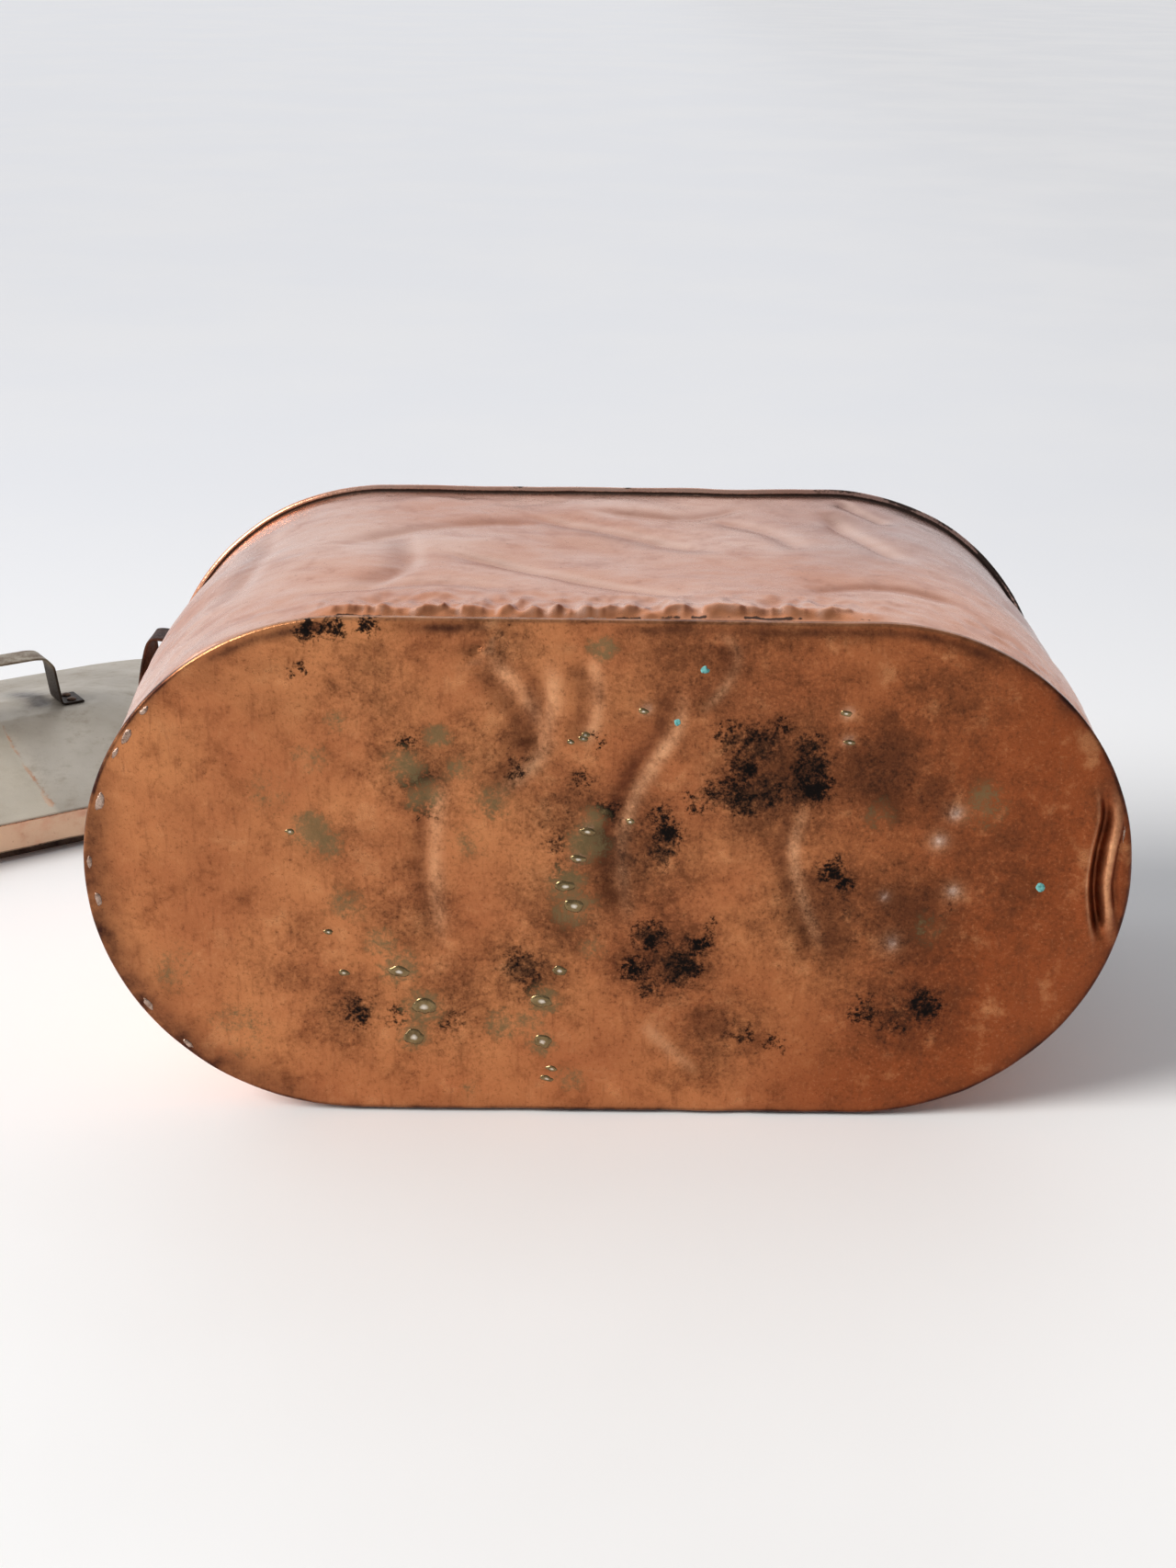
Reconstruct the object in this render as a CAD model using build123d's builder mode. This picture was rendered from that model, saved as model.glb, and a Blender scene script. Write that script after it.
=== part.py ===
"""Oval copper wash boiler with a loose tin lid, in millimetres.

The boiler lies on its long flat side: X runs along its length, Y from its bottom to its
mouth, and Z is up. The origin is the centre of the bottom's outer face. The lid lies on
the same floor, on its own inner collar, turned about the vertical.
"""

import math
import os

from build123d import *

os.makedirs("parts", exist_ok=True)

# Boiler body
boiler_length = 597.0  # over the hem of the bottom
boiler_width = 305.0  # over the hem of the bottom
boiler_height = 290.0  # bottom's outer face to the top of the rolled rim
wall_sheet = 0.9
pan_sheet = 1.0
hem_proud = 2.0  # the hem stands this far out of the wall
hem_depth = 5.0
wire_radius = 1.5
wire_fit = 0.05  # around the wire, inside the curl
solder_leg = 2.0
seam_width = 14.0
seam_sheet = 0.9
seam_clearance = 1.0  # from the strip's ends to the hem and the rim

# Side handles
handle_below_rim = 28.0  # top of the rim to the middle of the strap
strap_width = 24.0
strap_sheet = 2.2
grip_standoff = 19.5  # wall to the outside of the grip
grip_half_length = 60.0
grip_corner = 8.0
foot_length = 22.0  # each foot is turned in, under the grip
torn_length = 15.0  # what is left of a foot whose strap is torn off

# Rivets
rivet_radius = 2.0
rivet_hole_fit = 0.05
rivet_head_radius = 3.8
rivet_head_height = 1.8
rivet_tail_radius = 2.9
rivet_tail_height = 1.0
rivet_pitch = 12.0
burr_radius = 5.0
burr_sheet = 0.8
burr_gap = 0.1  # a flat burr bridges the curve of the wall
drill_reach = 8.0

# Lid
lid_sheet = 0.9
lid_side_gap = 1.5  # rim to skirt, and wall to collar
skirt_depth = 22.0
collar_below_skirt = 8.0
crown_rise = 29.0
ridge_length = 200.0
ridge_width = 44.0
lid_strap_width = 25.0
lid_strap_sheet = 2.0
lid_handle_height = 42.0
lid_leg_foot = 65.0  # middle of the lid to the foot of a leg
lid_leg_top = 60.0
lid_foot_length = 18.0
lid_shoulder_radius = 18.0
lid_heel_radius = 3.0

# Where the lid lies
lid_x = -498.0
lid_y = 508.0
lid_turn = 33.4  # degrees about the vertical

# Pits in the bottom, filled with solder: angle round the left end, distance in from the hem, radius
solder_fills = [
    (139.0, 4.0, 3.0),
    (146.0, 5.0, 4.0),
    (151.0, 4.0, 3.0),
    (163.0, 6.0, 4.5),
    (178.0, 3.5, 3.0),
    (187.0, 6.0, 3.5),
    (215.0, 5.0, 3.5),
    (228.0, 4.0, 3.0),
]
solder_fill_depth = 0.4

# Worked out from the above
wall_length = boiler_length - 2 * hem_proud
wall_width = boiler_width - 2 * hem_proud
wall_radius = wall_width / 2
end_x = (boiler_length - boiler_width) / 2
inner_radius = wall_radius - wall_sheet
curl_bore = wire_radius + wire_fit
curl_radius = curl_bore + wall_sheet
curl_line = inner_radius + curl_radius
curl_y = boiler_height - curl_radius
rim_radius = curl_line + curl_radius
floor_z = -max(rim_radius, boiler_width / 2)
handle_height = boiler_height - handle_below_rim
rivet_hole = rivet_radius + rivet_hole_fit
foot_radius = wall_radius + strap_sheet
grip_radius = wall_radius + grip_standoff
foot_start = grip_half_length - foot_length
rivet_rise = grip_half_length - strap_sheet - (foot_length - strap_sheet) / 2


def across(y):
    """Plane across the boiler at height y above its bottom: local x is X and local y is Z."""
    return Plane.XZ.offset(-y)


def write(piece, name):
    piece.part.label = name
    export_step(piece.part, f"parts/{name}.step")


def half_plane(side):
    """Keeps the part of a sketch on one side of the boiler's middle plane."""
    with Locations((0, side * boiler_width)):
        Rectangle(2 * boiler_length, 2 * boiler_width, mode=Mode.INTERSECT)


def end_band(side, half_height):
    """Keeps the part of a sketch at one end, up to half_height above and below the middle."""
    with Locations((side * (end_x + boiler_width / 2), 0)):
        Rectangle(boiler_width, 2 * half_height, mode=Mode.INTERSECT)


def rivet_planes(side):
    """Planes on the wall's outside, one for each rivet of an end's two feet, facing outwards."""
    angle = math.asin(rivet_rise / wall_radius)
    planes = []
    for up in (-1, 1):
        outward = Vector(side * math.cos(angle), 0, up * math.sin(angle))
        for shift in (-rivet_pitch / 2, rivet_pitch / 2):
            place = Vector(side * end_x, handle_height + shift, 0) + outward * wall_radius
            planes.append(Plane(place, x_dir=(0, 1, 0), z_dir=outward))
    return planes


def drill(planes, reach):
    """Rivet holes through whatever lies within reach of each plane."""
    with Locations(*planes):
        Cylinder(rivet_hole, 2 * reach, mode=Mode.SUBTRACT)


def build_rivets(planes, grip, sheet, name):
    """Round-headed rivets that clamp a foot of thickness grip onto a sheet's outer face."""
    tail_start = -(sheet + burr_gap + burr_sheet)
    with BuildPart() as rivets:
        for plane in planes:
            with BuildSketch(plane.offset(tail_start)):
                Circle(rivet_radius)
            extrude(amount=grip - tail_start)
            with BuildSketch(plane.offset(grip)):
                Circle(rivet_head_radius)
            extrude(amount=rivet_head_height, taper=35)
            with BuildSketch(plane.offset(tail_start)):
                Circle(rivet_tail_radius)
            extrude(amount=-rivet_tail_height, taper=20)
    write(rivets, name)


def build_burrs(planes, sheet, name):
    """Washers under the rivets' tails, on the inside of the sheet."""
    with BuildPart() as burrs:
        for plane in planes:
            with BuildSketch(plane.offset(-(sheet + burr_gap))):
                Circle(burr_radius)
                Circle(rivet_hole, mode=Mode.SUBTRACT)
            extrude(amount=-burr_sheet)
    write(burrs, name)


left_rivets = rivet_planes(-1)
right_rivets = rivet_planes(1)


def solder_places():
    """Centre and radius of each filled pit, in the bottom's own plane."""
    places = []
    for angle, inset, radius in solder_fills:
        reach = boiler_width / 2 - inset
        x = -end_x + reach * math.cos(math.radians(angle))
        places.append((x, reach * math.sin(math.radians(angle)), radius))
    return places


# Bottom pan: a flat sheet whose edge is folded up round the foot of the wall
with BuildPart() as bottom_pan:
    with BuildSketch(across(0)):
        SlotOverall(boiler_length, boiler_width)
    extrude(amount=-pan_sheet)
    with BuildSketch(across(pan_sheet)):
        SlotOverall(boiler_length, boiler_width)
        SlotOverall(wall_length, wall_width, mode=Mode.SUBTRACT)
    extrude(amount=-(hem_depth - pan_sheet))
    for x, z, radius in solder_places():
        with BuildSketch(across(0)):
            with Locations((x, z)):
                Circle(radius)
        extrude(amount=-solder_fill_depth, mode=Mode.SUBTRACT)
write(bottom_pan, "bottom_pan")


def build_wall(side, name):
    """Half of the wall, from the middle of one end to the other, curled round the rim wire."""
    with BuildPart() as wall:
        with BuildSketch(across(pan_sheet)):
            SlotOverall(wall_length, wall_width)
            SlotOverall(2 * (end_x + inner_radius), 2 * inner_radius, mode=Mode.SUBTRACT)
            half_plane(side)
        extrude(amount=-(curl_y - pan_sheet))
        with BuildLine(across(curl_y)) as curl:
            CenterArc((end_x, 0), curl_line, 0, side * 90)
            Line((end_x, side * curl_line), (-end_x, side * curl_line))
            CenterArc((-end_x, 0), curl_line, side * 90, side * 90)
        start = Plane((end_x + curl_line, curl_y, 0), x_dir=(1, 0, 0), z_dir=(0, 0, side))
        with BuildSketch(start):
            Circle(curl_radius)
        sweep(path=curl.wires()[0])
        with BuildSketch(start):
            Circle(curl_bore)
        sweep(path=curl.wires()[0], mode=Mode.SUBTRACT)
        drill([plane for plane in left_rivets + right_rivets if plane.origin.Z * side > 0], drill_reach)
    write(wall, name)


build_wall(1, "upper_wall")
build_wall(-1, "lower_wall")

# Iron wire inside the rolled rim
with BuildPart() as rim_wire:
    for side in (1, -1):
        with BuildSketch(Plane((0, curl_y, side * curl_line), x_dir=(0, 1, 0), z_dir=(1, 0, 0))):
            Circle(wire_radius)
        extrude(amount=end_x, both=True)
        with BuildSketch(Plane((side * end_x, curl_y, curl_line), x_dir=(0, 1, 0), z_dir=(1, 0, 0))):
            Circle(wire_radius)
        revolve(axis=Axis((side * end_x, 0, 0), (0, side, 0)), revolution_arc=180)
write(rim_wire, "rim_wire")

# Solder run round the inside corner of the bottom
with BuildPart() as bottom_solder:
    with BuildSketch(across(pan_sheet)):
        SlotOverall(2 * (end_x + inner_radius), 2 * inner_radius)
    extrude(amount=-solder_leg)
    with BuildSketch(across(pan_sheet)):
        SlotOverall(2 * (end_x + inner_radius - solder_leg), 2 * (inner_radius - solder_leg))
    extrude(amount=-solder_leg, taper=-35, mode=Mode.SUBTRACT)
write(bottom_solder, "bottom_solder")

# Solder that fills the pits in the bottom, flush with its outer face
with BuildPart() as solder_spots:
    for x, z, radius in solder_places():
        with BuildSketch(across(0)):
            with Locations((x, z)):
                Circle(radius)
        extrude(amount=-solder_fill_depth)
write(solder_spots, "solder_spots")


def build_seam_strip(side, name):
    """Copper strip soldered over the joint of the two wall sheets."""
    start = hem_depth + seam_clearance
    with BuildPart() as seam_strip:
        with BuildSketch(across(start)):
            with Locations((side * end_x, 0)):
                Circle(wall_radius + seam_sheet)
                Circle(wall_radius, mode=Mode.SUBTRACT)
            end_band(side, seam_width / 2)
        extrude(amount=-(curl_y - curl_radius - seam_clearance - start))
    write(seam_strip, name)


build_seam_strip(-1, "left_seam_strip")
build_seam_strip(1, "right_seam_strip")

strap_start = handle_height - strap_width / 2


def end_ring(side, outer, inner):
    """Sketch ring about the centre line of one rounded end."""
    with Locations((side * end_x, 0)):
        Circle(outer)
        Circle(inner, mode=Mode.SUBTRACT)


# Left handle: one strap, with its two feet turned in under the grip
with BuildPart() as left_handle:
    with BuildSketch(across(strap_start)) as outline:
        end_ring(-1, grip_radius, wall_radius)
        end_band(-1, grip_half_length)
        fillet(outline.vertices().sort_by(Axis.X)[:2], grip_corner)
    extrude(amount=-strap_width)
    with BuildSketch(across(strap_start)) as finger_gap:
        end_ring(-1, grip_radius - strap_sheet, foot_radius)
        end_band(-1, grip_half_length - strap_sheet)
        fillet(finger_gap.vertices().sort_by(Axis.X)[:2], grip_corner - strap_sheet)
    extrude(amount=-strap_width, mode=Mode.SUBTRACT)
    with BuildSketch(across(strap_start)):
        end_ring(-1, foot_radius + strap_sheet, wall_radius - strap_sheet)
        end_band(-1, foot_start)
    extrude(amount=-strap_width, mode=Mode.SUBTRACT)
    drill(left_rivets, drill_reach)
write(left_handle, "left_handle")
build_rivets(left_rivets, strap_sheet, wall_sheet, "left_handle_rivets")
build_burrs(left_rivets, wall_sheet, "left_rivet_burrs")


def build_torn_foot(up, name):
    """What is left of a foot of the right handle, torn off slantwise just past its rivets."""
    with BuildPart() as foot:
        with BuildSketch(across(strap_start)):
            end_ring(1, foot_radius, wall_radius)
            end_band(1, foot_start + torn_length)
            half_plane(up)
        extrude(amount=-strap_width)
        with BuildSketch(across(strap_start)):
            end_ring(1, foot_radius + strap_sheet, wall_radius - strap_sheet)
            end_band(1, foot_start)
        extrude(amount=-strap_width, mode=Mode.SUBTRACT)
        drill([plane for plane in right_rivets if plane.origin.Z * up > 0], drill_reach)
    write(foot, name)


build_torn_foot(1, "right_upper_foot")
build_torn_foot(-1, "right_lower_foot")
build_rivets(right_rivets, strap_sheet, wall_sheet, "right_foot_rivets")
build_burrs(right_rivets, wall_sheet, "right_rivet_burrs")

# Lid, in its own frame: local z is the height above the floor, and local x its length
lid_plane = Plane(
    (lid_x, lid_y, floor_z),
    x_dir=(math.cos(math.radians(lid_turn)), math.sin(math.radians(lid_turn)), 0),
    z_dir=(0, 0, 1),
)
skirt_radius = rim_radius + lid_side_gap + lid_sheet
collar_radius = inner_radius - lid_side_gap
lid_edge = collar_below_skirt + skirt_depth
ridge_top = lid_edge + lid_sheet + crown_rise
lid_reach = end_x + skirt_radius
flat_slope = crown_rise / (lid_reach - ridge_length / 2)
collar_top = lid_edge + flat_slope * (skirt_radius - collar_radius) - lid_sheet / 4


rivet_spread = lid_leg_foot + lid_foot_length / 2 + lid_strap_sheet / 2
ridge_plane = lid_plane.offset(ridge_top)
lid_rivets = [
    Plane(ridge_plane.from_local_coords((x, y, 0)), x_dir=ridge_plane.x_dir, z_dir=(0, 0, 1))
    for x in (-rivet_spread, rivet_spread)
    for y in (-rivet_pitch / 2, rivet_pitch / 2)
]


def lid_slot(radius, mode=Mode.ADD):
    """Sketch of the boiler's oval with ends of the given radius."""
    SlotOverall(2 * (end_x + radius), 2 * radius, mode=mode)


with BuildPart() as lid_top:
    for height, mode in ((lid_edge + lid_sheet, Mode.ADD), (lid_edge, Mode.SUBTRACT)):
        with BuildSketch(lid_plane.offset(height)):
            lid_slot(skirt_radius)
        with BuildSketch(lid_plane.offset(height + crown_rise)):
            SlotOverall(ridge_length, ridge_width)
        if mode == Mode.ADD:
            loft(ruled=True)
            with BuildSketch(lid_plane.offset(lid_edge)):
                lid_slot(skirt_radius)
            extrude(amount=lid_sheet)
        else:
            loft(ruled=True, mode=mode)
    drill(lid_rivets, drill_reach)
write(lid_top, "lid_top")

with BuildPart() as lid_skirt:
    with BuildSketch(lid_plane.offset(collar_below_skirt)):
        lid_slot(skirt_radius)
        lid_slot(skirt_radius - lid_sheet, Mode.SUBTRACT)
    extrude(amount=skirt_depth)
write(lid_skirt, "lid_skirt")

with BuildPart() as lid_collar:
    with BuildSketch(lid_plane):
        lid_slot(collar_radius)
        lid_slot(collar_radius - lid_sheet, Mode.SUBTRACT)
    extrude(amount=collar_top)
write(lid_collar, "lid_collar")

with BuildPart() as collar_solder:
    with BuildSketch(lid_plane.offset(lid_edge - solder_leg)):
        lid_slot(collar_radius + solder_leg)
        lid_slot(collar_radius, Mode.SUBTRACT)
    extrude(amount=solder_leg)
write(collar_solder, "collar_solder")

# Lid handle: one strap bent into an arch, with its feet turned outwards
arch_plane = Plane(
    ridge_plane.from_local_coords((0, 0, lid_strap_sheet / 2)),
    x_dir=ridge_plane.x_dir,
    z_dir=-ridge_plane.y_dir,
)
arch_end = lid_leg_foot + lid_foot_length
with BuildPart() as lid_handle:
    with BuildLine(arch_plane) as arch:
        FilletPolyline(
            (-arch_end, 0),
            (-lid_leg_foot, 0),
            (-lid_leg_top, lid_handle_height),
            (lid_leg_top, lid_handle_height),
            (lid_leg_foot, 0),
            (arch_end, 0),
            radius=[lid_heel_radius, lid_shoulder_radius, lid_shoulder_radius, lid_heel_radius],
        )
    start = arch_plane.from_local_coords((-arch_end, 0, 0))
    with BuildSketch(Plane(start, x_dir=ridge_plane.y_dir, z_dir=ridge_plane.x_dir)):
        Rectangle(lid_strap_width, lid_strap_sheet)
    sweep(path=arch.wires()[0])
    drill(lid_rivets, lid_strap_sheet)
write(lid_handle, "lid_handle")
build_rivets(lid_rivets, lid_strap_sheet, lid_sheet, "lid_handle_rivets")
build_burrs(lid_rivets, lid_sheet, "lid_rivet_burrs")
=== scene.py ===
"""Looks of an oval copper wash boiler that lies on its side, and of its loose tin lid.

Shapes are worked out in millimetres, in the model's own frame: X along the boiler, Y from
its bottom to its mouth, Z up. The oval is followed by s, the way round its upper half
from the middle of the long side: the centre slides along the straight, and past it the
radius turns about the end's centre.
"""

import bmesh
import bpy
import numpy as np
from mathutils import Matrix, Vector


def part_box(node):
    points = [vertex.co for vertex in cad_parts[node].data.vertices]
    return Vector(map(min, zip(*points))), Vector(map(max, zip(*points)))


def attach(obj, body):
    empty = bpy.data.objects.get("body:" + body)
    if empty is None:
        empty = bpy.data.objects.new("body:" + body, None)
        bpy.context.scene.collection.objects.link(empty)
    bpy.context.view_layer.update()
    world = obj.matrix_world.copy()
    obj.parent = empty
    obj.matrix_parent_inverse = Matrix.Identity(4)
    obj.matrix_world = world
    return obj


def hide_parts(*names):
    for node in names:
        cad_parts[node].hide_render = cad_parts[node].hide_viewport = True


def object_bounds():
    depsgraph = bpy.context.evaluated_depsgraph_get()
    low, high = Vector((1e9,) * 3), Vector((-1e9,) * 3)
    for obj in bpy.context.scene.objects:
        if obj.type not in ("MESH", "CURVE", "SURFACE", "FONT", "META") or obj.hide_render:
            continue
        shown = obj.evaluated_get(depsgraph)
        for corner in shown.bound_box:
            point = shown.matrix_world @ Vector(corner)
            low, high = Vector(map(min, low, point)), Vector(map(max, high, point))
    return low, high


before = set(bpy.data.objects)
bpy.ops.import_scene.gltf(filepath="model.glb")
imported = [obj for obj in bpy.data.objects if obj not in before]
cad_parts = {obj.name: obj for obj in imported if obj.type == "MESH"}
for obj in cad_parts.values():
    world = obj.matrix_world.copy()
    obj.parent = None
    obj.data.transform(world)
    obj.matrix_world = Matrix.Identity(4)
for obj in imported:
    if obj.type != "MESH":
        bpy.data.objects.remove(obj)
cad_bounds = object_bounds()

MM = 0.001


def corners(node):
    """Lowest and highest corners of a part, in millimetres."""
    low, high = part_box(node)
    return np.array(low) / MM, np.array(high) / MM


# Sheets and gaps, in millimetres
WALL_SHEET = 0.9
PAN_SHEET = 1.0
HEM_PROUD = 2.0
CURL_RADIUS = 2.45
STRAP_SHEET = 2.2
STRAP_WIDTH = 24.0
LID_SHEET = 0.9
LID_OVERHANG = 6.4
LID_STRAP_SHEET = 2.0
LID_STRAP_WIDTH = 25.0
LID_LEG_X = 65.0
LID_FOOT = 18.0
STRAP_FOOT = 22.0  # from the top of the grip down to the foot's free end
LUG_RISE = 14.6
SEAT_GAP = 0.05
RIVET_PITCH = 12.0
BURR_SHEET = 0.9
LID_TURN = np.radians(33.4)
RIDGE_STRAIGHT = 78.0
RIDGE_RADIUS = 22.0
CROWN_RISE = 29.0

# Overall sizes, read from the parts
PAN_HIGH = corners("bottom_pan")[1]
RIM_HIGH = corners("upper_wall")[1]
STRAP_LOW, STRAP_HIGH = corners("left_handle")
ROOF_LOW, ROOF_HIGH = corners("lid_top")
BAND_LOW, BAND_HIGH = corners("lid_skirt")
ARCH_HIGH = corners("lid_handle")[1]
HEM_RADIUS = PAN_HIGH[2]
END_X = PAN_HIGH[0] - HEM_RADIUS
HEM_DEPTH = PAN_HIGH[1]
WALL_RADIUS = HEM_RADIUS - HEM_PROUD
INNER_RADIUS = WALL_RADIUS - WALL_SHEET
HALF_ROUND = END_X + np.pi / 2 * HEM_RADIUS
CURL_Y = RIM_HIGH[1] - CURL_RADIUS
CURL_LINE = INNER_RADIUS + CURL_RADIUS
STRAP_Y = (STRAP_LOW[1] + STRAP_HIGH[1]) / 2
GRIP_RADIUS = -STRAP_LOW[0] - END_X
GRIP_HALF = STRAP_HIGH[2]
FOOT_START = GRIP_HALF - STRAP_FOOT
FLOOR_Z = cad_bounds[0].z / MM
LID_CENTRE = (ROOF_LOW + ROOF_HIGH) / 2
LID_RADIUS = WALL_RADIUS + LID_OVERHANG
EAVE = BAND_HIGH[2] - FLOOR_Z
RIDGE = EAVE + LID_SHEET + CROWN_RISE


# ---------------------------------------------------------------- numbers and shapes


def smooth(x):
    """0 below 0, 1 above 1, and 3x^2 - 2x^3 between."""
    x = np.clip(x, 0, 1)
    return x * x * (3 - 2 * x)


def hill(distance, width):
    """Bell curve exp(-(distance / width)^2)."""
    return np.exp(-((distance / width) ** 2))


def grain(points, size, seed, octaves=1):
    """Smooth random numbers about 0: values on a cubic lattice whose cells are size wide, blended
    by the smoothstep of the place in the cell. Each octave halves the cells and the height, and
    each seed shifts the lattice."""
    table = np.random.default_rng(seed).uniform(-1, 1, (32, 32, 32))
    total = 0
    for octave in range(octaves):
        place = points * 2**octave / size + 7.3 * octave + 0.37 * seed
        cell = np.floor(place).astype(int)
        part = smooth(place - cell)
        for step in np.ndindex(2, 2, 2):
            i, j, k = np.moveaxis((cell + step) % 32, -1, 0)
            share = np.prod(np.where(step, part, 1 - part), axis=-1)
            total = total + share * table[i, j, k] / 2**octave
    return total


def curve_through(points, steps=14):
    """Catmull-Rom curve: each span is a cubic whose slope at a point is half the way from the
    point before to the point after."""
    p = np.array(points, float)
    p = np.vstack([2 * p[0] - p[1], p, 2 * p[-1] - p[-2]])
    t = np.linspace(0, 1, steps, endpoint=False)[:, None]
    spans = [
        0.5 * (2 * b + (c - a) * t + (2 * a - 5 * b + 4 * c - d) * t**2
               + (3 * b - a - 3 * c + d) * t**3)
        for a, b, c, d in zip(p, p[1:], p[2:], p[3:])
    ]
    return np.vstack([*spans, p[-2:-1]])


def beside(u, v, points):
    """Signed distance to the right of a curve, and the way along it as a share of its length."""
    curve = curve_through(points)
    start, span = curve[:-1], np.diff(curve, axis=0)
    length = np.hypot(*span.T)
    along = np.concatenate([[0], np.cumsum(length)]) / length.sum()
    best, side, share = np.full(u.shape, 1e9), np.zeros(u.shape), np.zeros(u.shape)
    for (x, y), (dx, dy), size, begin, end in zip(start, span, length, along, along[1:]):
        t = np.clip(((u - x) * dx + (v - y) * dy) / size**2, 0, 1)
        away = np.hypot(u - x - t * dx, v - y - t * dy)
        closer = away < best
        best = np.where(closer, away, best)
        side = np.where(closer, np.sign((v - y) * -dx + (u - x) * dy), side)
        share = np.where(closer, begin + t * (end - begin), share)
    return best * side, share


def folded(u, v, folds):
    """Depth of many folds, and shares of painted shade and painted highlight along them. A fold
    is its depth times exp(-d / width), with its own width each side. d is the distance to its curve,
    rounded at the crease, and the fold dies away towards the curve's ends. Painted shade lies on the
    flank to the left of the curve, and a painted highlight on the ridge to the right."""
    crease = 1.2
    depth = shade_and_dirt = lit_and_worn = 0 * u
    for points, deep, left, right in folds:
        away, share = beside(u, v, points)
        ends = smooth(share * 4) * smooth((1 - share) * 4)
        soft = np.sqrt(away**2 + crease**2) - crease
        depth = depth + deep * np.exp(-soft / np.where(away > 0, right, left)) * ends
        strength = ends * min(deep / 4, 1)
        # Painted shade on the flank left of the curve, painted highlight on the ridge right of it
        shade_and_dirt = np.maximum(shade_and_dirt, hill(away + 0.5 * left, 0.6 * left) * strength)
        lit_and_worn = np.maximum(lit_and_worn, hill(away - 0.6 * right, 0.5 * right) * strength)
    return depth, shade_and_dirt, lit_and_worn


def spots(u, v, places):
    """Highest of many bell curves, each (u, v, radius, height)."""
    return np.max([height * hill(np.hypot(u - a, v - b), r) for a, b, r, height in places], axis=0)


def eased_path(points, step, easing):
    """Path through corner points, cut into even steps and averaged with its neighbours until its
    corners are round."""
    p = np.array(points, float)
    length = np.concatenate([[0], np.cumsum(np.linalg.norm(np.diff(p, axis=0), axis=1))])
    even = np.linspace(0, length[-1], int(length[-1] / step) + 1)
    path = np.stack([np.interp(even, length, p[:, i]) for i in range(p.shape[1])], -1)
    for _ in range(easing):
        path[1:-1] = (path[:-2] + 2 * path[1:-1] + path[2:]) / 4
    return path


def build(name, grids, material, body, stands_for=(), ring=True, loop=False, caps=False,
          masks=None):
    """Mesh piece from one or more grids of points [grid, row, column, xyz] in millimetres. Rows
    join to rows; ring joins the last column to the first, loop joins the last row to the first,
    and caps close the ends that are left. Points that meet are merged, and faces are turned
    outwards. Masks are numbers on the points, which the material reads."""
    grids = grids[None] if grids.ndim == 3 else grids
    count, rows, columns, _ = grids.shape
    index = np.arange(count * rows * columns).reshape(count, rows, columns)
    if ring:
        index = np.concatenate([index, index[:, :, :1]], axis=2)
    if loop:
        index = np.concatenate([index, index[:, :1]], axis=1)
    quads = np.stack([index[:, :-1, :-1], index[:, :-1, 1:],
                      index[:, 1:, 1:], index[:, 1:, :-1]], -1).reshape(-1, 4)
    mesh = bpy.data.meshes.new(name)
    mesh.vertices.add(count * rows * columns)
    mesh.vertices.foreach_set("co", (grids * MM).astype(np.float32).ravel())
    mesh.loops.add(quads.size)
    mesh.loops.foreach_set("vertex_index", quads.ravel().astype(np.int32))
    mesh.polygons.add(len(quads))
    mesh.polygons.foreach_set("loop_start", np.arange(0, quads.size, 4, dtype=np.int32))
    mesh.update(calc_edges=True)
    for key, values in (masks or {}).items():
        layer = mesh.attributes.new(key, "FLOAT", "POINT")
        spread = np.broadcast_to(values, grids.shape[:3])
        layer.data.foreach_set("value", spread.astype(np.float32).ravel())
    shell = bmesh.new()
    shell.from_mesh(mesh)
    shell.verts.ensure_lookup_table()
    if caps:
        ends = ([index[i, :rows, j] for i in range(count) for j in (0, -1)] if loop
                else [index[i, j, :columns] for i in range(count) for j in (0, -1)])
        for end in ends:
            shell.faces.new([shell.verts[int(i)] for i in end])
    bmesh.ops.remove_doubles(shell, verts=shell.verts, dist=1e-6)
    bmesh.ops.recalc_face_normals(shell, faces=shell.faces)
    for face in shell.faces:
        face.smooth = True
    shell.to_mesh(mesh)
    shell.free()
    mesh.materials.append(material)
    piece = bpy.data.objects.new(name, mesh)
    bpy.context.scene.collection.objects.link(piece)
    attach(piece, body)
    if stands_for:
        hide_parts(*stands_for)
    return piece


# ---------------------------------------------------------------- finishes


def shade(red, green, blue):
    """Linear colour from 0-255 display values."""
    c = np.array([red, green, blue]) / 255
    linear = np.where(c < 0.04045, c / 12.92, ((c + 0.055) / 1.055) ** 2.4)
    return (*linear.tolist(), 1.0)


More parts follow.
